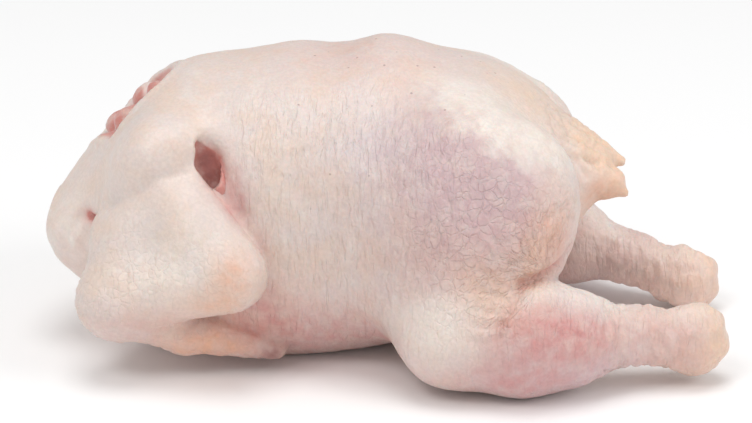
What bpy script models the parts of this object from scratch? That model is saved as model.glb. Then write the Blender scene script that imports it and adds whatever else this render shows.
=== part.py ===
"""A whole raw chicken, plucked and trimmed, lying breast down with its legs stretched out behind it.

The neck end points to -X, the tail to +X, and the back is up, +Z. The bird is one solid. Closed
primitives for its torso, thighs, legs, wings and tail are fused into one mesh, whose points are then
eased onto a skin that runs softly from lump to lump, and what it rests on is pressed flat.
"""
import math

import bmesh
import bpy
import numpy as np
from mathutils import Euler, Matrix, Vector

MM = 0.001

# Sizes from here to the colours are in millimetres, before the bird is centred over the origin.
FUSING_GRID = 2.2
EASING_ROUNDS = 5
SLOPE_STEP = 0.3           # how far apart the skin's slope is measured
LONGEST_EASE = 3.0         # the furthest that one round moves a point
SOLID_TRIANGLES = 9200
TORSO_SIDES = 56
FLOOR_SIZE = 500

# The torso from neck end to tail end: x, underside z, back z and half width.
TORSO_STATIONS = (
    (-131, 35.5, 61, 12.5),
    (-124, 25, 73, 23),
    (-114, 15, 83, 33.5),
    (-100, 7, 99.5, 44.5),
    (-82, 2, 110, 51),
    (-60, 0, 114, 55),
    (-35, -1, 116, 57),
    (0, 0, 117.5, 55),
    (30, 4, 115, 51),
    (55, 20, 104.5, 43),
    (73, 46, 88, 29),
    (84, 64, 77, 16),
)
BELLY_SQUARENESS = 2.0
BACK_SQUARENESS = 2.3

# Rounded lumps on the torso: centre and radii, and the tilt about X, Y and Z in degrees.
BREAST_HALVES = [((-44, 20 * side, 34), (66, 30, 33.5), (0, 0, 0)) for side in (-1, 1)]
NECK_SKIN = ((-120.5, -13, 43), (14, 17, 17.5), (0, -15, 0))
RUMP = ((73, 0, 77), (17, 17, 11), (0, 32, 0))
THIGHS = {
    -1: ((37.5, -46, 63.5), (37, 27, 44), (-16, 38, 0)),
    1: ((38, 44, 58), (38, 26, 45), (18, 24, 0)),
}

# Soft swellings of the back over the shoulders and the hips: height, centre and spread.
BACK_SWELLINGS = (
    (2.6, (-38, 4, 116), (13, 26, 20)),
    (5.0, (0, 3, 119), (14, 26, 18)),
)

# The legs lie a little differently: balls along each one, as centre and radius.
LEGS = {
    -1: (((31, -60, 24.5), 22.3), ((57, -59.5, 23.4), 22.6), ((73, -56.5, 22), 17.5),
         ((101, -47, 20.4), 10.2), ((118, -43, 17.5), 12.5)),
    1: (((26, 58, 26), 21.5), ((50, 60, 21.8), 22.5), ((70, 54, 23), 17.7), ((98, 43, 19), 9.6),
        ((116, 37, 14), 11.7)),
}
LEG_JOINT_BLEND = 7
HOCKS = {
    -1: ((123, -42, 17.5), (12, 11, 13.5), (0, 0, 15)),
    1: ((123, 35, 13.5), (12, 11, 12.7), (0, 0, -15)),
}

# A folded wing on the +Y side: balls at its joints.
SHOULDER = ((-85, 43, 82), 13.5)
ELBOW = ((-54, 64, 46), 11.5)
WRIST = ((-99.5, 59, 32), 13.2)
WING_FRONT = ((-98, 46, 55), 10)
PALM = ((-73, 50, 19), 8)
WING_TIP = ((-42, 39, 9), 4.5)
WEB_THICKNESS = 8.5
ARMPIT_TOP = (-73, 90)     # x and z of the upper end of the wing's free rear edge
ARMPIT_SLOPE = (0.856, 0.518)

# The pointed lobes of the tail, from root to tip.
TAIL_LOBES = (
    (((74, 4, 80), 8), ((92, 3, 74), 2)),
    (((75, -8, 74), 7.5), ((88, -9, 69.5), 5.5)),
    (((86, -9, 69), 4.5), ((93.5, -10, 65), 1.6)),
)

SKIN_COLOUR = (0.76, 0.60, 0.53, 1.0)
SKIN_ROUGHNESS = 0.45


def clear_scene():
    """Remove whatever objects the file already holds."""
    for thing in list(bpy.data.objects):
        bpy.data.objects.remove(thing, do_unlink=True)


def mirrored(ball, side):
    """The same ball on the +Y side (1) or the -Y side (-1)."""
    (x, y, z), radius = ball
    return (x, side * y, z), radius


def wing_balls(side):
    """The balls along one folded wing, from the shoulder to the tucked tip."""
    return [mirrored(ball, side) for ball in (SHOULDER, ELBOW, WRIST, WING_FRONT, PALM, WING_TIP)]


# --- Fused primitives ---


def add_lump(bird, centre, radii, tilt):
    """Add an ellipsoid, turned about X, then Y, then Z."""
    turn = Euler([math.radians(angle) for angle in tilt], "XYZ").to_matrix().to_4x4()
    size = Matrix.Diagonal((*radii, 1.0))
    place = Matrix.Translation(Vector(centre))
    bmesh.ops.create_icosphere(bird, subdivisions=4, radius=1.0, matrix=place @ turn @ size)


def add_hull(bird, balls):
    """Add the convex hull of some balls: a tapered limb for two, a web of skin for three."""
    shell = bmesh.new()
    for centre, radius in balls:
        ball = bmesh.new()
        place = Matrix.Translation(Vector(centre))
        bmesh.ops.create_icosphere(ball, subdivisions=3, radius=radius, matrix=place)
        for vertex in ball.verts:
            shell.verts.new(vertex.co)
        ball.free()
    hull = bmesh.ops.convex_hull(shell, input=list(shell.verts))
    inner = [part for part in hull["geom_interior"] if isinstance(part, bmesh.types.BMVert)]
    bmesh.ops.delete(shell, geom=inner, context="VERTS")
    limb = bpy.data.meshes.new("limb")
    shell.to_mesh(limb)
    shell.free()
    bird.from_mesh(limb)
    bpy.data.meshes.remove(limb)


def add_chain(bird, balls):
    """Add a limb that runs through several balls, one tapered stretch between each two."""
    for first, second in zip(balls, balls[1:]):
        add_hull(bird, (first, second))


def add_torso(bird):
    """Loft the torso through its stations as ovals and close both ends."""
    rings = []
    for x, underside, back, half_width in TORSO_STATIONS:
        middle = (underside + back) / 2
        ring = []
        for i in range(TORSO_SIDES):
            angle = math.tau * i / TORSO_SIDES
            across = half_width * math.cos(angle)
            up = (back - underside) / 2 * math.sin(angle)
            ring.append(bird.verts.new((x, across, middle + up)))
        rings.append(ring)
    for ring, following in zip(rings, rings[1:]):
        for i in range(TORSO_SIDES):
            j = (i + 1) % TORSO_SIDES
            bird.faces.new((ring[i], following[i], following[j], ring[j]))
    bird.faces.new(rings[0])
    bird.faces.new(list(reversed(rings[-1])))


def add_wing(bird, side):
    """Add a folded wing: its bones' line and the webs of skin between them."""
    shoulder, elbow, wrist, front, palm, tip = wing_balls(side)
    add_chain(bird, (shoulder, elbow, wrist, front, shoulder))
    add_chain(bird, (wrist, palm, tip))
    for corners in ((shoulder, elbow, wrist), (shoulder, wrist, front)):
        add_hull(bird, [(centre, WEB_THICKNESS) for centre, radius in corners])


def fused_lumps():
    """All the closed lumps, fused into one closed mesh of even squares."""
    bird = bmesh.new()
    add_torso(bird)
    for lump in (*BREAST_HALVES, NECK_SKIN, RUMP):
        add_lump(bird, *lump)
    for side in (-1, 1):
        add_lump(bird, *THIGHS[side])
        add_lump(bird, *HOCKS[side])
        add_chain(bird, LEGS[side])
        add_wing(bird, side)
    for lobe in TAIL_LOBES:
        add_chain(bird, lobe)
    bmesh.ops.recalc_face_normals(bird, faces=bird.faces)
    mesh = bpy.data.meshes.new("lumps")
    bird.to_mesh(mesh)
    bird.free()
    lumps = bpy.data.objects.new("lumps", mesh)
    bpy.context.scene.collection.objects.link(lumps)
    add_modifier(lumps, "REMESH", mode="VOXEL", voxel_size=FUSING_GRID, use_smooth_shade=True)
    fused = bpy.data.meshes.new_from_object(evaluated(lumps))
    bpy.data.objects.remove(lumps)
    bpy.data.meshes.remove(mesh)
    return fused


# --- The skin over the lumps, as a distance in mm: below zero inside, above zero outside ---


def ease(value, low, high):
    """Rise smoothly from 0 at low to 1 at high."""
    part = np.clip((value - low) / (high - low), 0, 1)
    return part * part * (3 - 2 * part)


def blend(first, second, reach):
    """Join two forms with a soft valley that starts where they are within reach of each other."""
    overlap = np.maximum(reach - np.abs(first - second), 0) / reach
    return np.minimum(first, second) - overlap * overlap * reach / 4


def lump_distance(points, centre, radii, tilt):
    """Distance to an ellipsoid."""
    turn = np.array(Euler([math.radians(angle) for angle in tilt], "XYZ").to_matrix())
    local = (points - np.array(centre)) @ turn
    size = np.array(radii)
    nearness = np.linalg.norm(local / size, axis=1)
    slope = np.linalg.norm(local / (size * size), axis=1)
    return nearness * (nearness - 1) / np.maximum(slope, 1e-6)


def limb_distance(points, first, second):
    """Distance to a tapered limb between two balls."""
    start, start_radius = np.array(first[0]), first[1]
    along = np.array(second[0]) - start
    part = np.clip((points - start) @ along / (along @ along), 0, 1)
    radius = start_radius + (second[1] - start_radius) * part
    return np.linalg.norm(points - start - part[:, None] * along, axis=1) - radius


def chain_distance(points, balls, reach):
    """Distance to a limb that runs through several balls."""
    distance = limb_distance(points, balls[0], balls[1])
    for first, second in zip(balls[1:], balls[2:]):
        distance = blend(distance, limb_distance(points, first, second), reach)
    return distance


def web_distance(points, corners, thickness):
    """Distance to a triangular plate with round edges."""
    first, second, third = [np.array(corner, float) for corner in corners]
    normal = np.cross(second - first, third - first)
    inside = np.ones(len(points), bool)
    edge = np.full(len(points), np.inf)
    for start, end in ((first, second), (second, third), (third, first)):
        inside &= (points - start) @ np.cross(normal, end - start) >= 0
        edge = np.minimum(edge, limb_distance(points, (start, 0), (end, 0)))
    flat = np.abs((points - first) @ normal) / np.linalg.norm(normal)
    return np.where(inside, flat, edge) - thickness


def smooth_curve(x, stations, values):
    """Read a smooth curve through the values at the stations."""
    slopes = np.gradient(values, stations)
    i = np.clip(np.searchsorted(stations, x) - 1, 0, len(stations) - 2)
    width = stations[i + 1] - stations[i]
    t = np.clip((x - stations[i]) / width, 0, 1)
    rise = values[i] * (2 * t**3 - 3 * t**2 + 1) + values[i + 1] * (3 * t**2 - 2 * t**3)
    return rise + width * (slopes[i] * (t**3 - 2 * t**2 + t) + slopes[i + 1] * (t**3 - t**2))


def torso_distance(points):
    """Distance to the torso, whose belly is round and whose back is a little squarer."""
    stations = np.array(TORSO_STATIONS, float)
    x, y, z = points.T
    underside, back, half_width = [smooth_curve(x, stations[:, 0], stations[:, i]) for i in (1, 2, 3)]
    middle = (underside + back) / 2
    half_height = (back - underside) / 2
    power = BELLY_SQUARENESS + (BACK_SQUARENESS - BELLY_SQUARENESS) * ease(z - middle, -20, 20)
    nearness = (np.abs(y / half_width) ** power + np.abs((z - middle) / half_height) ** power) ** (1 / power)
    distance = (nearness - 1) * np.minimum(half_width, half_height)
    beyond = np.maximum(stations[0, 0] - x, 0) + np.maximum(x - stations[-1, 0], 0)
    return np.where(beyond > 0, np.hypot(np.maximum(distance, 0), beyond), distance)


def swelling(points, height, centre, spread):
    """A soft round rise."""
    local = (points - np.array(centre)) / np.array(spread)
    return height * np.exp(-(local * local).sum(axis=1))


def body_distance(points):
    """The torso with its breast, neck skin and the swellings of the back."""
    distance = torso_distance(points)
    for half in BREAST_HALVES:
        distance = blend(distance, lump_distance(points, *half), 14)
    distance = blend(distance, lump_distance(points, *NECK_SKIN), 10)
    for height, centre, spread in BACK_SWELLINGS:
        distance = distance - swelling(points, height, centre, spread)
    return distance


def leg_distance(points, side):
    """Thigh, drumstick and hock: the knee runs softly into the thigh, the fold behind it is sharp."""
    leg = chain_distance(points, LEGS[side], LEG_JOINT_BLEND)
    leg = blend(leg, lump_distance(points, *HOCKS[side]), 5)
    knee_softness = 2.5 + 13 * ease(-points[:, 0], -58, -28)
    return blend(lump_distance(points, *THIGHS[side]), leg, knee_softness)


def wing_distance(points, side):
    """The folded wing with its webs."""
    shoulder, elbow, wrist, front, palm, tip = wing_balls(side)
    wing = chain_distance(points, (shoulder, elbow, wrist, front, shoulder), 8)
    for corners in ((shoulder, elbow, wrist), (shoulder, wrist, front)):
        web = web_distance(points, [centre for centre, radius in corners], WEB_THICKNESS)
        wing = blend(wing, web, 10)
    return blend(wing, chain_distance(points, (wrist, palm, tip), 4), 4)


def wing_softness(points):
    """How softly a wing meets the body: widely over the shoulder, sharply at its free edges."""
    x, y, z = points.T
    behind = (x - ARMPIT_TOP[0]) * ARMPIT_SLOPE[0] + (z - ARMPIT_TOP[1]) * ARMPIT_SLOPE[1]
    rear_edge = ease(behind, -22, -4) * (1 - ease(z, 80, 98))
    lower_edge = 1 - ease(z, 48, 80)
    return 18 - 16.5 * np.maximum(rear_edge, lower_edge)


def tail_distance(points):
    """The rump with its lobes."""
    tail = lump_distance(points, *RUMP)
    for root, tip in TAIL_LOBES:
        tail = blend(tail, limb_distance(points, root, tip), 2.5)
    return tail


def skin_distance(points):
    """The whole bird."""
    distance = body_distance(points)
    thigh_softness = 4 + 21 * ease(-points[:, 0], -66, -30)
    for side in (-1, 1):
        distance = blend(distance, leg_distance(points, side), thigh_softness)
    distance = blend(distance, tail_distance(points), 9)
    for side in (-1, 1):
        distance = blend(distance, wing_distance(points, side), wing_softness(points))
    return distance


def skin_slope(points):
    """Which way the distance grows, and how fast."""
    slope = np.empty_like(points)
    for axis in range(3):
        nudge = np.zeros(3)
        nudge[axis] = SLOPE_STEP
        change = skin_distance(points + nudge) - skin_distance(points - nudge)
        slope[:, axis] = change / (2 * SLOPE_STEP)
    return slope


def ease_onto_skin(mesh):
    """Move each point of the fused mesh onto the skin, evening out the mesh on the way."""
    points = np.empty(len(mesh.vertices) * 3)
    mesh.vertices.foreach_get("co", points)
    points = points.reshape(-1, 3)
    edges = np.empty(len(mesh.edges) * 2, int)
    mesh.edges.foreach_get("vertices", edges)
    one, other = edges.reshape(-1, 2).T
    neighbours = np.bincount(edges, minlength=len(points))
    for i in range(EASING_ROUNDS):
        total = np.zeros_like(points)
        np.add.at(total, one, points[other])
        np.add.at(total, other, points[one])
        points = (points + total / neighbours[:, None]) / 2
        for j in range(2):
            slope = skin_slope(points)
            steepness = np.maximum((slope * slope).sum(axis=1), 0.05)
            move = np.clip(skin_distance(points) / steepness, -LONGEST_EASE, LONGEST_EASE)
            points = points - move[:, None] * slope
    mesh.vertices.foreach_set("co", (points * MM).astype(np.float32).ravel())
    mesh.update()


# --- The solid ---


def add_modifier(thing, kind, **settings):
    """Add a modifier and set it up."""
    modifier = thing.modifiers.new(kind.capitalize(), kind)
    for name, value in settings.items():
        setattr(modifier, name, value)
    return modifier


def evaluated(thing):
    """The object with its modifiers worked out."""
    graph = bpy.context.evaluated_depsgraph_get()
    graph.update()
    return thing.evaluated_get(graph)


def floor_cutter():
    """A block under the bird that presses flat what it rests on."""
    mesh = bpy.data.meshes.new("floor")
    block = bmesh.new()
    size = FLOOR_SIZE * MM
    bmesh.ops.create_cube(block, size=size, matrix=Matrix.Translation((0, 0, -size / 2)))
    block.to_mesh(mesh)
    block.free()
    cutter = bpy.data.objects.new("floor", mesh)
    bpy.context.scene.collection.objects.link(cutter)
    cutter.hide_render = True
    cutter.display_type = "WIRE"
    return cutter


def skin_material():
    """Pale pink raw skin."""
    material = bpy.data.materials.new("skin")
    material.use_nodes = True
    shader = material.node_tree.nodes["Principled BSDF"]
    shader.inputs["Base Color"].default_value = SKIN_COLOUR
    shader.inputs["Roughness"].default_value = SKIN_ROUGHNESS
    shader.inputs["Metallic"].default_value = 0.0
    return material


def centre_over_origin(thing):
    """Move the bird level so that the middle of its outline stands over the origin."""
    points = [vertex.co for vertex in evaluated(thing).data.vertices]
    for axis in (0, 1):
        low = min(point[axis] for point in points)
        high = max(point[axis] for point in points)
        thing.location[axis] = -(low + high) / 2


def build_chicken():
    """The bird: fused lumps under one skin, with flat spots where it rests."""
    mesh = fused_lumps()
    ease_onto_skin(mesh)
    mesh.name = "chicken"
    mesh.materials.append(skin_material())
    mesh.shade_smooth()
    chicken = bpy.data.objects.new("chicken", mesh)
    bpy.context.scene.collection.objects.link(chicken)
    triangles = sum(len(face.vertices) - 2 for face in mesh.polygons)
    add_modifier(chicken, "DECIMATE", ratio=SOLID_TRIANGLES / triangles)
    centre_over_origin(chicken)
    add_modifier(chicken, "BOOLEAN", operation="DIFFERENCE", solver="EXACT", object=floor_cutter())
    return chicken


clear_scene()
build_chicken()
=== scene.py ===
"""The looks of a whole raw chicken: its skin with every fold and wrinkle, the cut neck, and a plain studio."""
import math

import bpy
import numpy as np
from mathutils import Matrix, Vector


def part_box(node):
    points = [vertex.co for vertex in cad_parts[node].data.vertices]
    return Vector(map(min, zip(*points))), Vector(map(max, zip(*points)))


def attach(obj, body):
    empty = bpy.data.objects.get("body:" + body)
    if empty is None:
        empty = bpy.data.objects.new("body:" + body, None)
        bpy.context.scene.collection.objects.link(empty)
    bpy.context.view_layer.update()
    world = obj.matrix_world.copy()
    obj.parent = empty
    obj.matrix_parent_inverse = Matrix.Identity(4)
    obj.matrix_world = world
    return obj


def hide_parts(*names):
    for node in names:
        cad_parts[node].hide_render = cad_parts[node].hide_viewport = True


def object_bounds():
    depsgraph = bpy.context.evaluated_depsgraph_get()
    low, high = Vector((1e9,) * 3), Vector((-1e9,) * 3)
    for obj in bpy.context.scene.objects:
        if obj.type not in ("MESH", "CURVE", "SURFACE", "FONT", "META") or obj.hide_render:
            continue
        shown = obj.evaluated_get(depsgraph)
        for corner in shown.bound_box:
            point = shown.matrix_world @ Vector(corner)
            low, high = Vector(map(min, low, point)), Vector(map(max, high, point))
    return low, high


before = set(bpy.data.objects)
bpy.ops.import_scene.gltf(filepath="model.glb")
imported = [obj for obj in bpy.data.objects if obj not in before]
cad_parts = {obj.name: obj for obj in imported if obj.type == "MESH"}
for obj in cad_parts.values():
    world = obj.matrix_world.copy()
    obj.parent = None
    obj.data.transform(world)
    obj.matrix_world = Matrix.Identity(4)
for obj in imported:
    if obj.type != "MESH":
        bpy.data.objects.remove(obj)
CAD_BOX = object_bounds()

import openvdb
from mathutils import Euler, Vector

MM = 0.001

# The grid that the skin's mesh is drawn on, in millimetres, and how it is fitted to the form.
SKIN_GRID = 1.3
BLOCK = 4                  # grid steps to a block: only blocks near the skin are worked out
BAND = 3                   # grid steps kept on each side of the skin
MARGIN = 12                # room round the bird
FITTING_ROUNDS = 2
SLOPE_STEP = 0.2
LONGEST_STEP = 2.0

# --- The bird's form, in millimetres, before it is centred over the origin ---

# The torso from neck end to tail end: x, underside z, back z and half width.
TORSO_STATIONS = (
    (-131, 35.5, 59.5, 12.5),
    (-124, 25, 70.5, 22.5),
    (-114, 15, 81, 33),
    (-100, 7, 98.5, 44.5),
    (-82, 2, 110, 51),
    (-60, 0, 114, 55),
    (-35, -1, 116, 57),
    (0, 0, 117.5, 55),
    (30, 4, 115, 51),
    (55, 20, 104.5, 43),
    (73, 46, 88, 29),
    (84, 64, 77, 16),
)
BELLY_SQUARENESS = 2.0
BACK_SQUARENESS = 2.3

# Rounded lumps: centre and radii, and the tilt about X, Y and Z in degrees.
BREAST_HALVES = [((-44, 20 * side, 34), (66, 30, 33.5), (0, 0, 0)) for side in (-1, 1)]
NECK_SKIN = ((-120.5, -13, 43), (14, 17, 17.5), (0, -15, 0))
RUMP = ((73, 0, 77), (17, 17, 11), (0, 32, 0))
THIGHS = {
    -1: ((37.5, -46, 63.5), (37, 27, 44), (-16, 38, 0)),
    1: ((38, 44, 58), (38, 26, 45), (18, 24, 0)),
}
BACK_SWELLINGS = (
    (2.6, (-38, 4, 116), (13, 26, 20)),
    (5.0, (0, 3, 119), (14, 26, 18)),
)

# Balls along each leg, as centre and radius, and the hock at its end.
LEGS = {
    -1: (((30, -60, 24.5), 22.3), ((57, -59.5, 23.4), 22.6), ((73, -56.5, 22), 17.5), ((101, -47, 20.4), 10.2),
         ((118, -43, 17.5), 12.5)),
    1: (((26, 58, 26), 21.5), ((50, 60, 21.8), 22.5), ((70, 54, 23), 17.7), ((98, 43, 19), 9.6),
        ((116, 37, 14), 11.7)),
}
LEG_JOINT_BLEND = 7
HOCKS = {
    -1: ((123, -42, 17.5), (12, 11, 13.5), (0, 0, 15)),
    1: ((123, 35, 13.5), (12, 11, 12.7), (0, 0, -15)),
}

# A folded wing on the +Y side.
SHOULDER = ((-85, 43, 82), 13.5)
ELBOW = ((-54, 64, 46), 11.5)
WRIST = ((-99.5, 59, 32), 13.2)
PALM = ((-74, 53, 18), 8.5)
WING_TIP = ((-41, 44, 9.5), 5.5)
WING_FRONT = ((-98, 46, 55), 10)
WEB_THICKNESS = 8.5
ARMPIT_TOP = (-73, 90)
ARMPIT_SLOPE = (0.856, 0.518)

TAIL_LOBES = (
    (((74, 4, 80), 8), ((92, 3, 74), 2)),
    (((75, -8, 74), 7.5), ((88, -9, 69.5), 5.5)),
    (((86, -9, 69), 4.5), ((93.5, -10, 65), 1.6)),
)

# Places on the skin that folds, wrinkles and colours are set out from, on the near side (-Y).
KNEE_FOLD = (65, -62, 50)
NECK_CUT = (((-104, 1, 95), (24, 20, 7.5), (0, -41, 0)), ((-106, -17, 92), (8, 6, 6), (0, -41, 20)))
NECK_FLESH = (((-101, -8, 88), 6.8), ((-95, 7, 93.5), 7.2), ((-107, 5, 82.5), 6.6), ((-90, -4, 99.5), 5.4),
              ((-109, -12, 80), 5.2))
DIMPLE = ((-114, -34, 56.5), (5, 4, 1.7), (0, 0, -40))
# The pocket behind each wing's rear edge, on the near side: balls along it.
ARMPIT = (((-69, -46.5, 91), 1.6), ((-66.5, -47, 84.5), 3.0), ((-63, -48, 77.5), 2.8), ((-59, -49.5, 70.5), 2.2))


# --- Noise ---


def lattice(cells, seed):
    """A number from 0 to 1 for each whole-number cell, always the same one."""
    x, y, z = [cells[..., i].astype(np.int64).astype(np.uint32) for i in range(3)]
    mixed = x * np.uint32(374761393) + y * np.uint32(668265263) + z * np.uint32(2147483647)
    mixed = mixed + np.uint32(seed * 1013904223 % 4294967296)
    mixed = (mixed ^ (mixed >> np.uint32(13))) * np.uint32(1274126177)
    mixed = (mixed ^ (mixed >> np.uint32(16))) * np.uint32(2246822519)
    mixed = mixed ^ (mixed >> np.uint32(15))
    return (mixed & np.uint32(0xFFFFFF)).astype(np.float32) / 0xFFFFFF


def noise(points, size, seed=0):
    """Soft noise between about -1 and 1, whose lumps are about size across; size may differ by axis."""
    scaled = points / np.array(size, np.float32)
    cell = np.floor(scaled)
    part = (scaled - cell).astype(np.float32)
    fade = part * part * part * (part * (part * 6 - 15) + 10)
    total = np.zeros(len(points), np.float32)
    for corner in np.ndindex(2, 2, 2):
        corner = np.array(corner)
        place = cell + corner
        lean = [lattice(place, seed * 3 + i) * 2 - 1 for i in range(3)]
        offset = part - corner
        weight = np.prod(np.where(corner, fade, 1 - fade), axis=1)
        total += weight * (lean[0] * offset[:, 0] + lean[1] * offset[:, 1] + lean[2] * offset[:, 2])
    return total * 1.9


def cells(points, size, seed=0):
    """Distances to the nearest and second nearest of points scattered about size apart."""
    scaled = points / np.array(size, np.float32)
    home = np.floor(scaled)
    nearest = np.full(len(points), 9.0, np.float32)
    second = nearest.copy()
    for step in np.ndindex(3, 3, 3):
        cell = home + np.array(step) - 1
        spot = np.stack([cell[:, i] + lattice(cell, seed * 3 + i + 50) for i in range(3)], axis=1)
        distance = np.linalg.norm(scaled - spot, axis=1)
        second = np.minimum(second, np.maximum(nearest, distance))
        nearest = np.minimum(nearest, distance)
    return nearest, second


# --- Distances to simple forms, in mm: below zero inside, above zero outside ---


def ease(value, low, high):
    """Rise smoothly from 0 at low to 1 at high."""
    part = np.clip((value - low) / (high - low), 0, 1)
    return part * part * (3 - 2 * part)


def blend(first, second, reach):
    """Join two forms with a soft valley that starts where they are within reach of each other."""
    overlap = np.maximum(reach - np.abs(first - second), 0) / reach
    return np.minimum(first, second) - overlap * overlap * reach / 4


def carve(form, hollow, reach):
    """Take a hollow out of a form, with a rounded lip."""
    return -blend(-form, hollow, reach)


def turned(points, centre, tilt):
    """The points as seen from a tilted place."""
    turn = np.array(Euler([math.radians(angle) for angle in tilt], "XYZ").to_matrix(), np.float32)
    return (points - np.array(centre, np.float32)) @ turn


def lump_distance(points, centre, radii, tilt):
    """Distance to an ellipsoid."""
    local = turned(points, centre, tilt)
    size = np.array(radii, np.float32)
    nearness = np.linalg.norm(local / size, axis=1)
    slope = np.linalg.norm(local / (size * size), axis=1)
    return nearness * (nearness - 1) / np.maximum(slope, 1e-6)


def limb_distance(points, first, second):
    """Distance to a tapered limb between two balls."""
    start, start_radius = np.array(first[0], np.float32), first[1]
    along = np.array(second[0], np.float32) - start
    part = np.clip((points - start) @ along / (along @ along), 0, 1)
    radius = start_radius + (second[1] - start_radius) * part
    return np.linalg.norm(points - start - part[:, None] * along, axis=1) - radius


def chain_distance(points, balls, reach):
    """Distance to a limb that runs through several balls."""
    distance = limb_distance(points, balls[0], balls[1])
    for first, second in zip(balls[1:], balls[2:]):
        distance = blend(distance, limb_distance(points, first, second), reach)
    return distance


def web_distance(points, corners, thickness):
    """Distance to a triangular plate with round edges."""
    first, second, third = [np.array(corner, np.float32) for corner in corners]
    normal = np.cross(second - first, third - first)
    inside = np.ones(len(points), bool)
    edge = np.full(len(points), np.inf, np.float32)
    for start, end in ((first, second), (second, third), (third, first)):
        inside &= (points - start) @ np.cross(normal, end - start) >= 0
        edge = np.minimum(edge, limb_distance(points, (start, 0), (end, 0)))
    flat = np.abs((points - first) @ normal) / np.linalg.norm(normal)
    return np.where(inside, flat, edge) - thickness


def smooth_curve(x, stations, values):
    """Read a smooth curve through the values at the stations."""
    slopes = np.gradient(values, stations)
    i = np.clip(np.searchsorted(stations, x) - 1, 0, len(stations) - 2)
    width = stations[i + 1] - stations[i]
    t = np.clip((x - stations[i]) / width, 0, 1)
    rise = values[i] * (2 * t**3 - 3 * t**2 + 1) + values[i + 1] * (3 * t**2 - 2 * t**3)
    return rise + width * (slopes[i] * (t**3 - 2 * t**2 + t) + slopes[i + 1] * (t**3 - t**2))


def mound(points, centre, spread, tilt=(0, 0, 0)):
    """1 at a place, fading smoothly to 0 around it."""
    local = turned(points, centre, tilt) / np.array(spread, np.float32)
    return np.exp(-(local * local).sum(axis=1))


def route_distance(points, route):
    """Distance to a line through several places, and how far along it the nearest place is, from 0 to 1."""
    route = np.array(route, np.float32)
    lengths = np.linalg.norm(np.diff(route, axis=0), axis=1)
    starts = np.concatenate([[0], np.cumsum(lengths)])
    nearest = np.full(len(points), np.inf, np.float32)
    place = np.zeros(len(points), np.float32)
    for start, end, length, before in zip(route, route[1:], lengths, starts):
        along = end - start
        part = np.clip((points - start) @ along / (along @ along), 0, 1)
        distance = np.linalg.norm(points - start - part[:, None] * along, axis=1)
        closer = distance < nearest
        nearest = np.where(closer, distance, nearest)
        place = np.where(closer, (before + part * length) / starts[-1], place)
    return nearest, place


def crease(points, route, width, depth):
    """How deep a fold along a route is at each point, tapering off at both ends."""
    distance, place = route_distance(points, route)
    taper = ease(place, 0, 0.2) * (1 - ease(place, 0.8, 1))
    return depth * taper * np.exp(-(distance / width) ** 2)


# --- The bird's form ---


def mirrored(ball, side):
    """The same ball on the +Y side (1) or the -Y side (-1)."""
    (x, y, z), radius = ball
    return (x, side * y, z), radius


def torso_distance(points):
    """Distance to the torso, whose belly is round and whose back is a little squarer."""
    stations = np.array(TORSO_STATIONS, np.float32)
    x, y, z = points.T
    underside, back, half_width = [smooth_curve(x, stations[:, 0], stations[:, i]) for i in (1, 2, 3)]
    middle = (underside + back) / 2
    half_height = (back - underside) / 2
    power = BELLY_SQUARENESS + (BACK_SQUARENESS - BELLY_SQUARENESS) * ease(z - middle, -20, 20)
    nearness = (np.abs(y / half_width) ** power + np.abs((z - middle) / half_height) ** power) ** (1 / power)
    distance = (nearness - 1) * np.minimum(half_width, half_height)
    beyond = np.maximum(stations[0, 0] - x, 0) + np.maximum(x - stations[-1, 0], 0)
    return np.where(beyond > 0, np.hypot(np.maximum(distance, 0), beyond), distance)


def body_distance(points):
    """The torso with its breast, neck skin and the swellings of the back."""
    distance = torso_distance(points)
    for half in BREAST_HALVES:
        distance = blend(distance, lump_distance(points, *half), 14)
    distance = blend(distance, lump_distance(points, *NECK_SKIN), 10)
    for height, centre, spread in BACK_SWELLINGS:
        distance = distance - height * mound(points, centre, spread)
    return distance


def leg_distance(points, side):
    """Thigh, drumstick and hock: the knee runs softly into the thigh, the fold behind it is sharp."""
    leg = chain_distance(points, LEGS[side], LEG_JOINT_BLEND)
    leg = blend(leg, lump_distance(points, *HOCKS[side]), 5)
    knee_softness = 2.5 + 13 * ease(-points[:, 0], -58, -28)
    return blend(lump_distance(points, *THIGHS[side]), leg, knee_softness)


def wing_distance(points, side):
    """The folded wing with its web."""
    balls = [mirrored(ball, side) for ball in (SHOULDER, ELBOW, WRIST, WING_FRONT, PALM, WING_TIP)]
    shoulder, elbow, wrist, front, palm, tip = balls
    wing = chain_distance(points, (shoulder, elbow, wrist, front, shoulder), 8)
    for corners in ((shoulder, elbow, wrist), (shoulder, wrist, front)):
        web = web_distance(points, [centre for centre, radius in corners], WEB_THICKNESS)
        wing = blend(wing, web, 10)
    return blend(wing, chain_distance(points, (wrist, palm, tip), 4), 4)


def wing_softness(points):
    """How softly a wing meets the body: widely over the shoulder, sharply at its free edges."""
    x, y, z = points.T
    rear_edge = ease(behind_wing(points), -22, -4) * (1 - ease(z, 80, 98))
    lower_edge = 1 - ease(z, 48, 80)
    return 18 - 16.5 * np.maximum(rear_edge, lower_edge)


def tail_distance(points):
    """The rump with its two lobes."""
    tail = lump_distance(points, *RUMP)
    for root, tip in TAIL_LOBES:
        tail = blend(tail, limb_distance(points, root, tip), 2.5)
    return tail


def neck_distance(points):
    """The cut where the neck was, as a shallow hollow."""
    main, corner = [lump_distance(points, *part) for part in NECK_CUT]
    return blend(main, corner, 5)


def neck_flesh_distance(points):
    """The lumps of flesh in the cut neck."""
    lumps = [limb_distance(points, ball, (np.add(ball[0], (0.1, 0, 0)), ball[1])) for ball in NECK_FLESH]
    flesh = lumps[0]
    for lump in lumps[1:]:
        flesh = blend(flesh, lump, 2)
    return flesh


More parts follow.
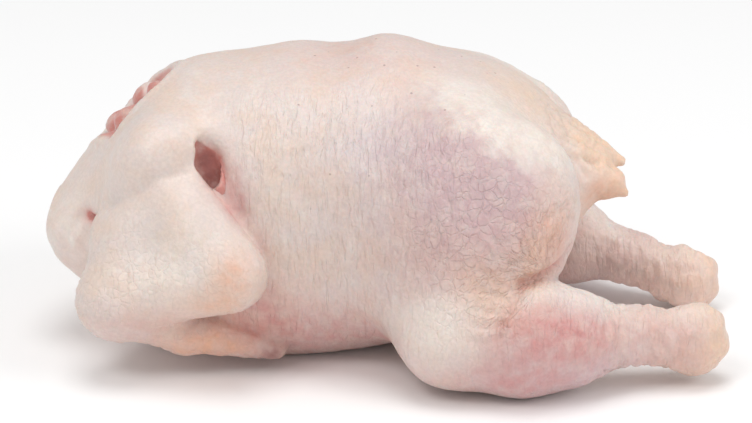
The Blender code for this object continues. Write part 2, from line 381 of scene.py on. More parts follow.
def behind_wing(points):
    """How far each point lies behind the line of the wing's rear edge."""
    x, y, z = points.T
    return (x - ARMPIT_TOP[0]) * ARMPIT_SLOPE[0] + (z - ARMPIT_TOP[1]) * ARMPIT_SLOPE[1]


def uncut_distance(points):
    """The whole bird before anything is cut or pressed into it."""
    distance = body_distance(points)
    thigh_softness = 4 + 21 * ease(-points[:, 0], -66, -30)
    for side in (-1, 1):
        distance = blend(distance, leg_distance(points, side), thigh_softness)
    distance = blend(distance, tail_distance(points), 9)
    for side in (-1, 1):
        distance = blend(distance, wing_distance(points, side), wing_softness(points))
    return distance


def skin_distance(points):
    """The whole bird, with the cut neck, the pocket behind each wing and a dimple beside each."""
    distance = carve(uncut_distance(points), neck_distance(points), 2)
    distance = blend(distance, neck_flesh_distance(points), 2)
    lip = 1.5 + 5 * ease(behind_wing(points), 4, 9)
    for side in (-1, 1):
        here = near_side(points, side)
        distance = carve(distance, chain_distance(here, ARMPIT, 4), lip)
        distance = carve(distance, lump_distance(here, *DIMPLE), 1.5)
    return np.maximum(distance, -points[:, 2])


# --- The mesh ---


def near_skin_values(low, counts):
    """Distances on a fine grid, worked out only in the blocks of the grid that the skin passes near."""
    blocks = counts // BLOCK
    reach = BLOCK * SKIN_GRID
    starts = np.stack(np.meshgrid(*[np.arange(n) for n in blocks], indexing="ij"), -1).reshape(-1, 3)
    middles = low + (starts * BLOCK + (BLOCK - 1) / 2) * SKIN_GRID
    coarse = skin_distance(middles.astype(np.float32))
    values = np.sign(coarse).reshape(blocks) * BAND * SKIN_GRID
    for axis in range(3):
        values = np.repeat(values, BLOCK, axis=axis)
    values = values.astype(np.float32)
    steps = np.stack(np.meshgrid(*[np.arange(BLOCK)] * 3, indexing="ij"), -1).reshape(-1, 3)
    near = starts[np.abs(coarse) < 1.5 * reach]
    for some in np.array_split(near, max(1, len(near) // 4000)):
        places = (some[:, None] * BLOCK + steps[None]).reshape(-1, 3)
        found = skin_distance((low + places * SKIN_GRID).astype(np.float32))
        values[tuple(places.T)] = np.clip(found, -BAND * SKIN_GRID, BAND * SKIN_GRID)
    return values


def skin_slope(points):
    """Which way the distance grows, and how fast."""
    slope = np.empty_like(points)
    for axis in range(3):
        nudge = np.zeros(3, np.float32)
        nudge[axis] = SLOPE_STEP
        slope[:, axis] = (skin_distance(points + nudge) - skin_distance(points - nudge)) / (2 * SLOPE_STEP)
    return slope


def fit_to_skin(points):
    """Move points the short way onto the skin."""
    for i in range(FITTING_ROUNDS):
        slope = skin_slope(points)
        steepness = np.maximum((slope * slope).sum(axis=1), 0.05)
        move = np.clip(skin_distance(points) / steepness, -LONGEST_STEP, LONGEST_STEP)
        points = points - move[:, None] * slope
    return points


def skin_points_and_quads():
    """The skin as points in mm and four-sided faces."""
    low = np.array([bound * 1000 for bound in CAD_BOX[0]]) - MARGIN
    high = np.array([bound * 1000 for bound in CAD_BOX[1]]) + MARGIN
    counts = (np.ceil((high - low) / SKIN_GRID / BLOCK).astype(int) + 1) * BLOCK
    values = near_skin_values(low, counts)
    grid = openvdb.FloatGrid(BAND * SKIN_GRID)
    grid.copyFromArray(values)
    points, quads = grid.convertToQuads(0.0)
    points = (points * SKIN_GRID + low).astype(np.float32)
    return fit_to_skin(points), quads.astype(np.int64)


def neighbour_average(values, quads):
    """Each point's mean over the faces around it."""
    total = np.zeros_like(values)
    count = np.zeros(len(values), np.float32)
    middle = values[quads].mean(axis=1)
    for corner in range(4):
        np.add.at(total, quads[:, corner], middle)
        np.add.at(count, quads[:, corner], 1)
    return total / count.reshape(-1, *[1] * (values.ndim - 1))


def point_normals(points, quads):
    """The outward direction at each point."""
    corners = points[quads]
    facing = np.cross(corners[:, 2] - corners[:, 0], corners[:, 3] - corners[:, 1])
    total = np.zeros_like(points)
    for corner in range(4):
        np.add.at(total, quads[:, corner], facing)
    return total / np.maximum(np.linalg.norm(total, axis=1, keepdims=True), 1e-9)


# --- Where things are on the skin ---


def near_side(points, side):
    """The points of one side of the bird as if they were on its near side (-Y)."""
    return points * np.array((1, -side, 1), np.float32)


def both_sides(points, height):
    """Add up something that is set out on the near side, for both sides."""
    return sum(height(near_side(points, side), side) for side in (-1, 1))


def within(value, low, high, edge):
    """1 between low and high, fading to 0 outside over a distance of edge."""
    return ease(value, low - edge, low) * (1 - ease(value, high, high + edge))


def places(points, normals):
    """How much each point belongs to each part of the skin, from 0 to 1."""
    x, y, z = points.T
    spot = {}
    in_neck = neck_distance(points)
    spot["neck"] = 1 - ease(in_neck, -0.5, 0.8)
    spot["neck_rim"] = np.exp(-((in_neck - 2.2) / 1.5) ** 2)
    body = np.minimum(body_distance(points), tail_distance(points))
    legs = {side: chain_distance(points, LEGS[side], LEG_JOINT_BLEND) for side in (-1, 1)}
    legs = {side: np.minimum(legs[side], lump_distance(points, *HOCKS[side])) for side in (-1, 1)}
    thighs = {side: lump_distance(points, *THIGHS[side]) for side in (-1, 1)}
    wings = {side: wing_distance(points, side) for side in (-1, 1)}
    leg = np.minimum(legs[-1], legs[1])
    thigh = np.minimum(thighs[-1], thighs[1])
    wing = np.minimum(wings[-1], wings[1])
    spot["leg"] = ease(np.minimum(thigh, body) - leg, -5, 5)
    spot["leg_near"] = spot["leg"] * (y < 0)
    spot["leg_far"] = spot["leg"] * (y > 0)
    spot["thigh"] = ease(np.minimum(leg, body) - thigh, -9, 6) * (1 - spot["leg"])
    spot["wing"] = ease(body - wing, -4, 3) * (x < -30)
    spot["tail"] = ease(x, 62, 78) * ease(body_distance(points) - tail_distance(points), -6, 2)
    spot["tail"] = spot["tail"] * (1 - spot["leg"]) * (z > 50)
    spot["back"] = ease(normals[:, 2], 0.45, 0.9) * (1 - spot["leg"]) * (1 - spot["wing"])
    flank = ease(np.abs(normals[:, 1]), 0.35, 0.75) * within(x, -48, 30, 14) * (1 - spot["wing"])
    spot["flank"] = flank * (1 - spot["leg"])
    spot["belly"] = ease(-normals[:, 2], 0.2, 0.8) * (1 - spot["wing"]) * (1 - spot["leg"])
    spot["pit"] = -uncut_distance(points) * (1 - spot["neck"])
    spot["hock"] = sum(mound(points, HOCKS[side][0], (13, 15, 15)) for side in (-1, 1)) ** 0.5
    spot["hock"] = np.clip(spot["hock"] * 1.35, 0, 1) * spot["leg"]
    spot["ankle"] = within(x, 88, 112, 8) * spot["leg"]
    return spot


# --- Folds and wrinkles ---

# Folds of one side, set out on the near side: the route, and the fold's width and depth.
SHOULDER_VALLEY = ((-66, -50, 88), (-72, -55, 85), (-79, -58, 83), (-90, -56, 76), (-99, -50, 69), (-107, -42, 62))
KNEE_CREASE = ((74, -50, 59), (71, -54, 53), (65, -60, 49), (59, -66, 48), (54, -71, 47))
SHIN_CREASE = ((59, -67, 49), (52, -75, 43), (48, -81, 34), (46, -83, 26))
FOLDS = (
    (SHOULDER_VALLEY, 2.6, 1.3),
    (SHOULDER_VALLEY, 8, 2.8),
    (((-113, -33, 61), (-120, -29, 56), (-125, -28, 46), (-122, -32, 36)), 2.6, 1.5),
    (((-115, -33, 54), (-119, -33, 44), (-113, -39, 32)), 3.2, 1.2),
    (KNEE_CREASE, 2.0, 2.6),
    (SHIN_CREASE, 2.2, 1.8),
    (((64, -62, 75), (64, -64, 64), (61, -66, 51)), 1.3, 1.1),
    (((68, -58, 71), (67, -61, 62), (64, -63, 51)), 1.3, 1.0),
    (((60, -65, 69), (60, -68, 60), (59, -67, 50)), 1.4, 0.9),
    (((65, -60, 77), (70, -55, 71), (75, -50, 65)), 1.8, 0.5),
    (((54, -74, 45), (46, -76, 46), (38, -77, 48)), 1.5, 1.0),
    (((53, -77, 41), (45, -79, 40), (37, -79, 42)), 1.4, 1.0),
    (((51, -79, 37), (43, -81, 35), (36, -80, 37)), 1.5, 0.9),
    (((56, -71, 50), (48, -73, 52), (40, -73, 54)), 1.4, 1.0),
    (((59, -68, 54), (51, -70, 57), (43, -71, 61)), 1.4, 0.9),
    (((49, -82, 32), (42, -83, 29), (35, -81, 30)), 1.8, 0.7),
    (((64, -27, 98), (72, -23, 91), (77, -22, 83), (79, -24, 73)), 2.2, 2.8),
)
POCKET_DENT = (((-70, -47, 98), (-62, -48, 86), (-57, -50, 74), (-49, -55, 60)), 5.5, 2.4)
# Folds of the tail, which isn't the same on both sides.
TAIL_FOLDS = (
    (((76, -19, 84), (83, -14, 79), (92, -7, 74)), 1.8, 2.4),
    (((70, -14, 93), (78, -10, 87), (87, -6, 81)), 1.6, 1.3),
    (((67, -19, 96), (73, -17, 91), (78, -14, 86)), 1.6, 1.2),
    (((70, -3, 94), (80, 0, 86), (90, 2, 77)), 1.3, 0.9),
    (((74, 8, 90), (81, 9, 84), (87, 9, 76)), 1.3, 0.8),
    (((85, -7, 61), (84, 0, 60), (85, 7, 61)), 1.6, 1.8),
)
WING_SWELLING = ((-76, -66, 60), (20, 14, 14))


def valleys(value, width):
    """Narrow valleys, 0 to 1 deep, where a noise crosses zero."""
    return np.exp(-(value / width) ** 2)


def wavered(points, size, amount, seed):
    """The points moved about a little, so that what is set out on them wavers."""
    return points + amount * np.stack([noise(points, size, seed + i) for i in range(3)], 1)


def gathers(points, side):
    """Skin gathered round the fold behind the knee: how far round it, how far out, and how strongly."""
    x, y, z = (points - np.array(KNEE_FOLD, np.float32)).T
    distance = np.hypot(x, z)
    angle = np.arctan2(z, -x)
    forward = within(angle, -0.8, 0.9, 0.3)
    upward = within(angle, 1.15, 1.9, 0.25)
    spread = within(distance, 9, 24, 12) * within(y, -30, 14, 8)
    return angle, distance, (forward + 0.9 * upward) * spread


def knee_folds(points, side):
    """Folds that spread from the back of the knee, up and forward."""
    angle, distance, strength = gathers(points, side)
    bend = 0.2 * noise(points, 13, 31) + 0.07 * noise(points, 5, 32)
    fan = noise(np.stack([angle * 10 + 10 * bend, distance / 4.6, 0 * angle], 1), (2.2, 2.6, 1), 33 + side)
    return -0.85 * strength * valleys(fan, 0.2)


def flank_wrinkles(points):
    """Fine wrinkles that run down the sides."""
    fine = valleys(noise(wavered(points, 17, 3, 41), (3.6, 12, 15), 44), 0.2)
    strong = ease(noise(points, (18, 20, 24), 45), -0.3, 0.5)
    return -0.6 * fine * (0.35 + 0.65 * strong)


def crackle(points, size, seed):
    """Fine wrinkles that part the skin into small irregular cells."""
    nearest, second = cells(wavered(points, size, size * 0.45, seed), size, seed + 5)
    return -np.exp(-((second - nearest) / 0.2) ** 2)


def ankle_wrinkles(points):
    """Rings of loose skin round the thin end of each leg."""
    return -0.8 * valleys(noise(wavered(points, 11, 3, 61), (3.8, 16, 16), 63), 0.25)


def leg_wrinkles(points):
    """Long slanting wrinkles on the shin."""
    slanted = turned(wavered(points, 13, 3, 67), (0, 0, 0), (0, 28, 0))
    return -0.7 * valleys(noise(slanted, (15, 9, 4), 69), 0.2)


def tail_wrinkles(points):
    """The wrinkled fat on top of the tail and round its root."""
    across = turned(wavered(points, 8, 2, 71), (0, 0, 0), (0, 35, 0))
    return -0.8 * valleys(noise(across, (4.2, 7, 4.2), 74), 0.22)


def on_skin(folds):
    """The same folds, with their routes moved the short way onto the skin."""
    return [(fit_to_skin(np.array(route, np.float32)), width, depth) for route, width, depth in folds]


def fold_height(points, normals, spot):
    """How far each point of the skin rises or sinks, in mm."""
    x, y, z = points.T
    smooth = 1 - 0.5 * spot["back"]
    height = smooth * (0.5 * noise(points, 27, 1) + 0.28 * noise(points, 12, 2))
    height += 0.10 * noise(points, 5.5, 3) + 0.05 * noise(points, 3, 4)
    height += spot["flank"] * flank_wrinkles(points)
    skin = np.clip(spot["thigh"] + 0.5 * spot["flank"] * (x > 5), 0, 1)
    height += skin * (0.3 + 0.2 * noise(points, 14, 53)) * crackle(points, 6.5, 51)
    height += spot["wing"] * (1 - ease(z, 45, 75)) * 0.4 * crackle(points, 5.5, 57)
    height += spot["ankle"] * ankle_wrinkles(points)
    height += spot["leg"] * within(x, 70, 105, 12) * 0.5 * leg_wrinkles(points)
    height += spot["hock"] * (1.1 * noise(points, 9, 65) + 0.7 * noise(points, 4.5, 66))
    height += both_sides(points, knee_folds) * (1 - 0.6 * spot["leg"])
    loose = wavered(points, 9, 1.1, 81)
    folds = on_skin(FOLDS)
    height -= both_sides(loose, lambda p, side: sum(crease(p, *fold) for fold in folds))
    height -= sum(crease(loose, *fold) for fold in on_skin(TAIL_FOLDS))
    height -= both_sides(points, lambda p, side: crease(p, *POCKET_DENT)) * (1 - spot["wing"])
    rump = np.clip(spot["tail"] + mound(points, (66, 0, 94), (14, 30, 14)), 0, 1) * (1 - ease(x, 84, 90))
    height += rump * tail_wrinkles(points)
    height += both_sides(points, lambda p, side: 2.2 * mound(p, *WING_SWELLING)) * spot["wing"]
    height += 0.9 * spot["neck_rim"] * (1 + 0.6 * noise(points, 7, 73))
    height += spot["neck"] * (0.7 * noise(points, 6, 75) + 0.35 * noise(points, 3.2, 76))
    return height


# --- Colour, as what the skin has more or less of at each place, with painted light and shade in some places ---

# Patches of one side, set out on the near side: tint, strength, centre and spread.
PATCHES = (
    ("pink", 0.8, (60, -80, 36), (17, 14, 12)),
    ("pink", 0.75, (80, -70, 28), (18, 14, 11)),
    ("pink", 0.5, (102, -50, 24), (14, 12, 12)),
    ("pink", 0.45, (122, -50, 14), (12, 12, 8)),
    ("pink", 0.45, (56, -82, 14), (22, 14, 12)),
    ("pink", 0.35, (66, -54, 62), (9, 12, 16)),
    ("pink", 0.35, (-84, -74, 26), (26, 14, 10)),
    # painted shade: the pinkish-brown shadow on the body below the wing's lower edge
    ("pink", 0.5, (-46, -56, 28), (16, 12, 14)),
    ("pink", 0.5, (-121, -30, 42), (8, 10, 12)),
    # painted shade: the lower flank made pinker and darker along the belly's underside
    ("pink", 0.45, (-20, -48, 18), (50, 18, 16)),
    ("dusk", 0.25, (12, -55, 88), (14, 16, 20)),
    ("dusk", 0.12, (-10, -58, 70), (24, 16, 26)),
    # painted shade: the drumstick's underside made darker grey-purple
    ("dusk", 0.75, (66, -78, 10), (28, 22, 10)),
    ("dusk", 0.4, (120, -50, 24), (14, 12, 12)),
    ("blue", 0.4, (2, -50, 94), (20, 16, 18)),
    # painted shade: the drumstick's underside made darker bluish-grey
    ("blue", 0.8, (76, -73, 12), (28, 20, 11)),
    ("blue", 0.3, (74, -66, 42), (14, 10, 8)),
    ("fat", 0.6, (26, -80, 33), (12, 12, 12)),
    ("butter", 0.45, (44, -76, 46), (14, 12, 14)),
    ("butter", 0.35, (60, -66, 56), (8, 8, 14)),
    ("butter", 0.35, (58, -14, 103), (16, 24, 12)),
    ("butter", 0.5, (130, -42, 18), (6, 14, 14)),
    ("orange", 0.7, (-51, -77, 51), (8.5, 9, 9)),
    ("orange", 0.6, (-58, -74, 38), (11, 9, 8)),
    ("orange", 1.0, (-62, -60, 14), (20, 12, 9)),
    ("orange", 0.9, (84, -16, 66), (9, 14, 8)),
    ("flesh", 0.9, (-115, -34, 57), (5.5, 5.5, 3)),
    ("orange", 0.5, (61, -64, 49), (9, 8, 3)),
    ("flesh", 0.4, (-44, -58, 55), (3, 4, 7)),
    # These two patches are partly flesh showing in the pocket behind the wing, partly painted shade cast by the wing's
    # rear edge onto the body.
    ("flesh", 0.6, (-60, -49, 80), (5.5, 8, 10)),
    ("pink", 0.8, (-54, -52, 69), (6, 8, 13)),
    # painted shade: a flesh-red line where the wing tip tucks under the breast
    ("flesh", 0.5, (-52, -49, 18), (13, 5, 3)),
    ("fat", 0.9, (-80, -78, 56), (24, 12, 14)),
    # painted light: the lobe beside the wing made paler, against the shade its form gets
    ("fat", 0.75, (-122, -28, 46), (10, 12, 16)),
    ("butter", 0.4, (66, -57, 66), (8, 12, 14)),
    ("dusk", 0.5, (118, -54, 25), (12, 10, 9)),
    ("dusk", 0.5, (60, -82, 26), (22, 12, 14)),
    # painted shade: the wing tip's end darkened where it sits under the breast by the floor
    ("painted_shade", 0.45, (-40, -50, 8), (6, 7, 5)),
    ("dusk", 0.4, (-60, -60, 10), (20, 10, 8)),
    ("pink", 0.45, (62, -60, 64), (9, 10, 12)),
    ("pink", 0.2, (-10, -10, 114), (34, 20, 10)),
)


def thigh_tints(points):
    """The dusky flesh that shows through the thigh, and the ragged edge of the fat above it."""
    x, y, z = points.T
    above = z - 103 + 0.44 * (x - 34) + 3.2 * noise(points, 8, 93) + 2.2 * noise(points, 3.2, 94)
    dusk = (1 - ease(above, -6, 4)) * ease(x, -6, 34) * (1 - ease(x, 54, 72)) * ease(z, 44, 86)
    fat = ease(above, -5, 4) * (1 - ease(above, 6, 20)) * within(x, 24, 70, 18)
    return dusk * (y < -20), fat * ease(-y, 14, 30)


def neck_tints(points, spot):
    """Red flesh and cream fat in the cut neck."""
    fat = ease(noise(points, 9, 97) + 0.5 * noise(points, 3.5, 98), 0.1, 0.6)
    return spot["neck"] * (0.85 - 0.6 * fat), spot["neck"] * 0.5 * fat


def tints(points, normals, spot):
    """The amounts that the skin's colours, and the painted light and shade among them, are mixed by."""
    x, y, z = points.T
    tint = {name: 0 * x for name in TINTS}
    for name, strength, centre, spread in PATCHES:
        tint[name] += both_sides(points, lambda p, side: strength * mound(p, centre, spread))
    for side in (-1, 1):
        dusk, fat = thigh_tints(near_side(points, side))
        tint["dusk"] += 0.75 * dusk * (1 - spot["leg"])
        tint["fat"] += 0.6 * fat * (1 - spot["leg"])
    thigh = both_sides(points, lambda p, side: mound(p, (38, -60, 62), (34, 40, 34)))
    tint["dusk"] += 0.4 * thigh * (1 - spot["leg"])
    # The last term is painted shade: the skin turns pinker towards the floor.
    tint["pink"] += 0.35 * thigh * (1 - spot["leg"]) * (1 - ease(z, 50, 90)) + 0.25 * (1 - ease(z, 2, 30))
    # The far leg's pink is its own colour; the belly term is painted shade, making downward-facing skin pinker.
    tint["pink"] += 0.4 * spot["leg_far"] + 0.1 * spot["belly"]
    # painted light: the far leg made paler towards its end, against the body's shade on it
    tint["fat"] += 0.25 * spot["leg_far"] * ease(x, 50, 80)
    # painted light: the legs are made paler and whiter where their skin faces up, standing in for the light and sheen
    # on their tops
    upward = ease(normals[:, 2], 0.55, 0.95)
    tint["fat"] += 0.7 * spot["leg"] * upward * (1 - 0.5 * ease(x, 88, 100)) * (1 - 0.7 * tint["pink"])
    tint["butter"] += 0.75 * spot["tail"] + 0.35 * spot["hock"]
    # Partly flesh in the folds, partly painted shade: a flesh-coloured line darkens the knee and shin creases.
    lines = on_skin(((KNEE_CREASE, 1.7, 0.55), (SHIN_CREASE, 2.0, 0.25)))
    tint["flesh"] += both_sides(points, lambda p, side: sum(crease(p, *line) for line in lines))
    # Partly the flesh seen in the pockets and dimples, partly painted shade: the deeper into the hollow, the redder
    # and then darker the skin.
    tint["flesh"] += 0.85 * ease(spot["pit"], 0.2, 2.5)
    tint["painted_shade"] += 0.28 * ease(spot["pit"], 1.5, 5)
    flesh, fat = neck_tints(points, spot)
    tint["flesh"] += flesh
    tint["fat"] += fat
    soft_thigh = both_sides(points, lambda p, side: mound(p, (40, -60, 60), (34, 40, 36)))
    patchy = 0.75 + 0.4 * noise(points, 16, 99)
    tint["crackle"] = (1.1 * soft_thigh + 0.35 * spot["wing"] * (1 - ease(z, 50, 80))) * patchy
    tint["lines"] = spot["flank"] + 0.8 * spot["leg"] + 0.4 * spot["wing"] * (1 - ease(z, 60, 80))
    tint["gathered"] = both_sides(points, lambda p, side: gathers(p, side)[2]) + 0 * x
    tint["follicles"] = (spot["back"] + spot["flank"] * ease(z, 55, 90)) * within(x, -60, 40, 20)
    tint["bare"] = spot["neck"]
    return {name: np.clip(amount, 0, 1) for name, amount in tint.items()}


def gather_places(points):
    """Places laid out round the back of the knee, so that a texture on them spreads from it."""
    angle, distance, strength = gathers(points, -1)
    return np.stack([angle * 14, distance, 0.4 * points[:, 1]], axis=1)


# --- The skin's material ---


def linear(red, green, blue):
    """A colour given as seen on a screen, 0 to 255, for a shader."""
    shares = [value / 255 for value in (red, green, blue)]
    return [share / 12.92 if share < 0.04045 else ((share + 0.055) / 1.055) ** 2.4 for share in shares] + [1]


SKIN = linear(224, 209, 202)
WARM_SKIN = linear(226, 205, 192)
PALE_SKIN = linear(230, 220, 213)
TINTS = {
    "blue": linear(205, 192, 201),
    "dusk": linear(204, 177, 178),
    "pink": linear(208, 150, 146),
    "fat": linear(240, 232, 224),
    "butter": linear(236, 204, 177),
    "orange": linear(228, 180, 154),
    "flesh": linear(206, 140, 131),
    # painted shade: a dark red-brown laid deep in the pockets behind the wings and at the wing tip's end under the
    # breast
    "painted_shade": linear(112, 58, 60),
}


class NodeTree:
    """Short ways to add shader nodes to a material."""

    def __init__(self, material):
        self.tree = material.node_tree
        self.tree.nodes.clear()
        self.place = self.add("ShaderNodeTexCoord").outputs["Object"]

    def add(self, kind, inputs=None, **settings):
        node = self.tree.nodes.new(kind)
        for name, value in settings.items():
            setattr(node, name, value)
        for name, value in (inputs or {}).items():
            self.feed(node.inputs[name], value)
        return node

    def feed(self, socket, value):
        if isinstance(value, bpy.types.NodeSocket):
            self.tree.links.new(value, socket)
        else:
            socket.default_value = value

    def amount(self, name):
        return self.add("ShaderNodeAttribute", attribute_name=name).outputs["Fac"]

    def maths(self, operation, first, second=0.0, third=0.0, clamp=False):
        node = self.add("ShaderNodeMath", operation=operation, use_clamp=clamp)
        for socket, value in zip(node.inputs, (first, second, third)):
            self.feed(socket, value)
        return node.outputs[0]

    def mix(self, share, first, second, blend_type="MIX"):
        node = self.add("ShaderNodeMix", data_type="RGBA", blend_type=blend_type)
        for name, value in (("Factor_Float", share), ("A_Color", first), ("B_Color", second)):
            self.feed(next(socket for socket in node.inputs if socket.identifier == name), value)
        return next(socket for socket in node.outputs if socket.identifier == "Result_Color")

    def ramp(self, value, low, high, bottom=0.0, top=1.0):
        node = self.add("ShaderNodeMapRange", interpolation_type="SMOOTHSTEP")
        for name, number in (("Value", value), ("From Min", low), ("From Max", high), ("To Min", bottom),
                             ("To Max", top)):
            self.feed(node.inputs[name], number)
        return node.outputs[0]

    def stretched(self, x, y, z):
        node = self.add("ShaderNodeMapping", {"Vector": self.place, "Scale": (x, y, z)})
        return node.outputs[0]

    def noise(self, size_mm, detail=2.0, stretch=None, distortion=0.0):
        vector = self.stretched(*stretch) if stretch else self.place
        return self.add("ShaderNodeTexNoise", {"Vector": vector, "Scale": 1 / (size_mm * MM), "Detail": detail,
                                               "Distortion": distortion}).outputs["Fac"]

    def wavy(self, size_mm, amount_mm):
        """The place, moved about by a noise."""
        shift = self.add("ShaderNodeTexNoise", {"Vector": self.place, "Scale": 1 / (size_mm * MM)}).outputs["Color"]
        shift = self.add("ShaderNodeVectorMath", {0: shift, 1: (0.5, 0.5, 0.5)}, operation="SUBTRACT").outputs[0]
        shift = self.add("ShaderNodeVectorMath", {0: shift, "Scale": amount_mm * MM * 2}, operation="SCALE").outputs[0]
        return self.add("ShaderNodeVectorMath", {0: self.place, 1: shift}, operation="ADD").outputs[0]

    def cells(self, size_mm, feature="F1", wavy=0.0):
        vector = self.wavy(size_mm * 1.5, wavy) if wavy else self.place
        return self.add("ShaderNodeTexVoronoi", {"Vector": vector, "Scale": 1 / (size_mm * MM)}, feature=feature)


def skin_colour(nodes):
    """Skin that is uneven all over, mixed with the tints where they are."""
    mottle = nodes.ramp(nodes.noise(16, 3), 0.35, 0.7)
    colour = nodes.mix(mottle, SKIN, WARM_SKIN)
    colour = nodes.mix(nodes.ramp(nodes.noise(9, 4, distortion=0.6), 0.52, 0.8, 0, 0.7), colour, PALE_SKIN)
    ragged = nodes.ramp(nodes.noise(5, 4), 0.25, 0.75, 0.6, 1.3)
    for name, tint in TINTS.items():
        share = nodes.maths("MULTIPLY", nodes.amount(name), ragged, clamp=True)
        colour = nodes.mix(share, colour, tint)
    speckle = nodes.ramp(nodes.noise(1.3, 3), 0.3, 0.7, 0.955, 1.03)
    grey = nodes.add("ShaderNodeCombineColor", {"Red": speckle, "Green": speckle, "Blue": speckle})
    colour = nodes.mix(1.0, colour, grey.outputs[0], "MULTIPLY")
    dots = nodes.cells(7.5)
    some = nodes.maths("GREATER_THAN", nodes.noise(21, 1), 0.47)
    dot = nodes.maths("MULTIPLY", nodes.ramp(dots.outputs["Distance"], 0.045, 0.085, 0.5, 0), some)
    return nodes.mix(nodes.maths("MULTIPLY", dot, nodes.amount("follicles")), colour, linear(128, 92, 88))


def fine_lines(nodes, texture, width):
    """Thin lines, 1 deep, where a texture passes its middle."""
    return nodes.ramp(nodes.maths("ABSOLUTE", nodes.maths("SUBTRACT", texture, 0.5)), 0.0, width)


def skin_bumps(nodes):
    """Pores, fine wrinkles down the sides, cells and gathers too fine for the mesh; heights in mm."""
    pores = nodes.maths("MULTIPLY", nodes.cells(1.7, "SMOOTH_F1").outputs["Distance"], 0.12)
    grain = nodes.maths("MULTIPLY", nodes.noise(0.9, 2), 0.12)
    height = nodes.maths("ADD", pores, grain)
    vertical = nodes.ramp(nodes.noise(1.9, 3, (1, 0.34, 0.24), 0.6), 0.3, 0.6)
    cell_edges = nodes.ramp(nodes.cells(3.4, "DISTANCE_TO_EDGE", wavy=2.0).outputs["Distance"], 0.0, 0.16)
    place = nodes.add("ShaderNodeAttribute", attribute_name="gather_place").outputs["Vector"]
    place = nodes.add("ShaderNodeMapping", {"Vector": place, "Scale": (1, 0.22, 0.3)}).outputs[0]
    fan = nodes.add("ShaderNodeTexNoise", {"Vector": place, "Scale": 0.42, "Detail": 2.5, "Distortion": 0.4})
    patterns = (
        (vertical, "lines", 0.34),
        (cell_edges, "crackle", 0.42),
        (fine_lines(nodes, fan.outputs["Fac"], 0.12), "gathered", 0.34),
    )
    for pattern, name, depth in patterns:
        share = nodes.maths("MULTIPLY", nodes.amount(name), depth)
        height = nodes.maths("ADD", height, nodes.maths("MULTIPLY", pattern, share))
    return nodes.add("ShaderNodeBump", {"Height": height, "Strength": 1.0, "Distance": MM}).outputs[0]


def skin_material():
    """Moist, slightly see-through raw skin."""
    material = bpy.data.materials.new("chicken_skin")
    material.use_nodes = True
    nodes = NodeTree(material)
    colour = skin_colour(nodes)
    moist = nodes.ramp(nodes.noise(6, 3), 0.3, 0.7, 0.50, 0.36)
    moist = nodes.maths("SUBTRACT", moist, nodes.maths("MULTIPLY", nodes.amount("bare"), 0.12))
    shader = nodes.add("ShaderNodeBsdfPrincipled", {
        "Base Color": colour,
        "Roughness": moist,
        "IOR": 1.42,
        "Subsurface Weight": 0.3,
        "Subsurface Radius": (1.0, 0.45, 0.3),
        "Subsurface Scale": 0.0018,
        "Coat Weight": 0.18,
        "Coat Roughness": 0.28,
        "Normal": skin_bumps(nodes),
    })
    nodes.add("ShaderNodeOutputMaterial", {"Surface": shader.outputs[0]})
    return material


# --- Putting it together ---


def shift_to_frame(points):
    """How far to move the form so that it stands where the solid does."""
    low, high = [np.array(corner, np.float32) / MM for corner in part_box("chicken")]
    shift = (low + high - points.min(axis=0) - points.max(axis=0)) / 2
    shift[2] = 0
    return shift


def build_chicken():
    """The whole bird as one piece of skin."""
    points, quads = skin_points_and_quads()
    shift = shift_to_frame(points)
    normals = point_normals(points, quads)
    spot = places(points, normals)
    amounts = tints(points, normals, spot)
    layout = gather_places(points)
    height = fold_height(points, normals, spot)
    points = points + normals * height[:, None]
    points[:, 2] = np.maximum(points[:, 2], 0)
    points = points + shift
    mesh = bpy.data.meshes.new("chicken_skin")
    mesh.from_pydata((points * MM).tolist(), [], quads.tolist())
    mesh.update()
    mesh.polygons.foreach_set("use_smooth", [True] * len(mesh.polygons))
    for name, values in amounts.items():
        attribute = mesh.attributes.new(name, "FLOAT", "POINT")
        attribute.data.foreach_set("value", values.astype(np.float32))
    attribute = mesh.attributes.new("gather_place", "FLOAT_VECTOR", "POINT")
    attribute.data.foreach_set("vector", layout.astype(np.float32).ravel())
    mesh.materials.append(skin_material())
    skin = bpy.data.objects.new("chicken_skin", mesh)
    bpy.context.scene.collection.objects.link(skin)
    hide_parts("chicken")
    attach(skin, "root")
    return skin


# --- The studio ---


def direction(azimuth, elevation):
    """The direction from the bird towards a place round it, in degrees."""
    turn, rise = math.radians(azimuth), math.radians(elevation)
    return Vector((math.sin(turn) * math.cos(rise), -math.cos(turn) * math.cos(rise), math.sin(rise)))


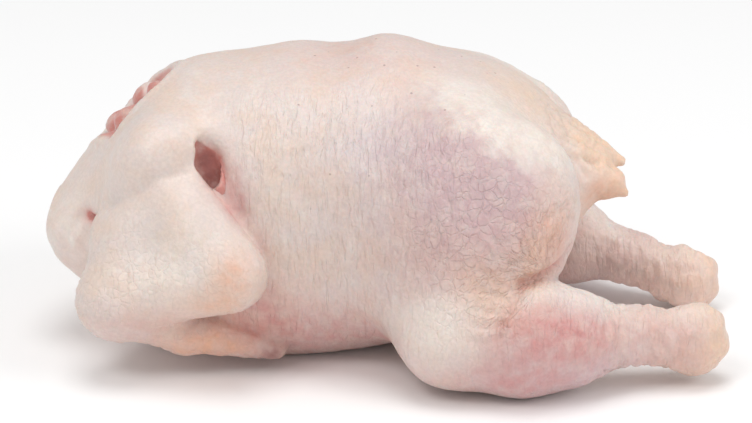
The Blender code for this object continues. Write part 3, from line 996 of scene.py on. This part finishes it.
def add_camera():
    data = bpy.data.cameras.new("camera")
    data.sensor_width = 36
    data.lens = 36 * CAMERA_DISTANCE / VIEW_WIDTH
    camera = bpy.data.objects.new("camera", data)
    back = direction(*CAMERA_ANGLES)
    camera.location = Vector(CAMERA_TARGET) + back * CAMERA_DISTANCE
    camera.rotation_euler = (-back).to_track_quat("-Z", "Y").to_euler()
    bpy.context.scene.collection.objects.link(camera)
    bpy.context.scene.camera = camera


def add_light(name, towards, distance, size, power):
    data = bpy.data.lights.new(name, "AREA")
    data.shape = "DISK"
    data.size = size
    data.energy = power
    light = bpy.data.objects.new(name, data)
    way = Vector(towards).normalized()
    light.location = way * distance + Vector(CAMERA_TARGET)
    light.rotation_euler = (-way).to_track_quat("-Z", "Y").to_euler()
    bpy.context.scene.collection.objects.link(light)


def add_floor():
    data = bpy.data.meshes.new("floor")
    half = 3.0
    data.from_pydata([(-half, -half, 0), (half, -half, 0), (half, half, 0), (-half, half, 0)], [], [(0, 1, 2, 3)])
    material = bpy.data.materials.new("floor")
    material.use_nodes = True
    shader = material.node_tree.nodes["Principled BSDF"]
    shader.inputs["Base Color"].default_value = (0.97, 0.97, 0.97, 1)
    shader.inputs["Roughness"].default_value = 0.8
    data.materials.append(material)
    floor = bpy.data.objects.new("floor", data)
    floor.location.z = -0.0002
    bpy.context.scene.collection.objects.link(floor)


def add_world():
    world = bpy.data.worlds.new("studio")
    world.use_nodes = True
    background = world.node_tree.nodes["Background"]
    background.inputs["Color"].default_value = (1, 1, 1, 1)
    background.inputs["Strength"].default_value = WORLD_LIGHT
    bpy.context.scene.world = world


CAMERA_ANGLES = (5, 19)
CAMERA_DISTANCE = 1.0
CAMERA_TARGET = (-0.0044, -0.0002, 0.0510)
VIEW_WIDTH = 0.3008
WORLD_LIGHT = 0.5

add_camera()
add_world()
add_floor()
add_light("key", (-0.45, -0.8, 1.1), 3.0, 1.1, 17)
add_light("fill", (1.0, -0.35, 0.7), 3.0, 1.6, 19)
add_light("top", (0.0, -0.1, 1.0), 3.0, 1.8, 34)
bpy.context.scene.view_settings.view_transform = "Standard"
build_chicken()
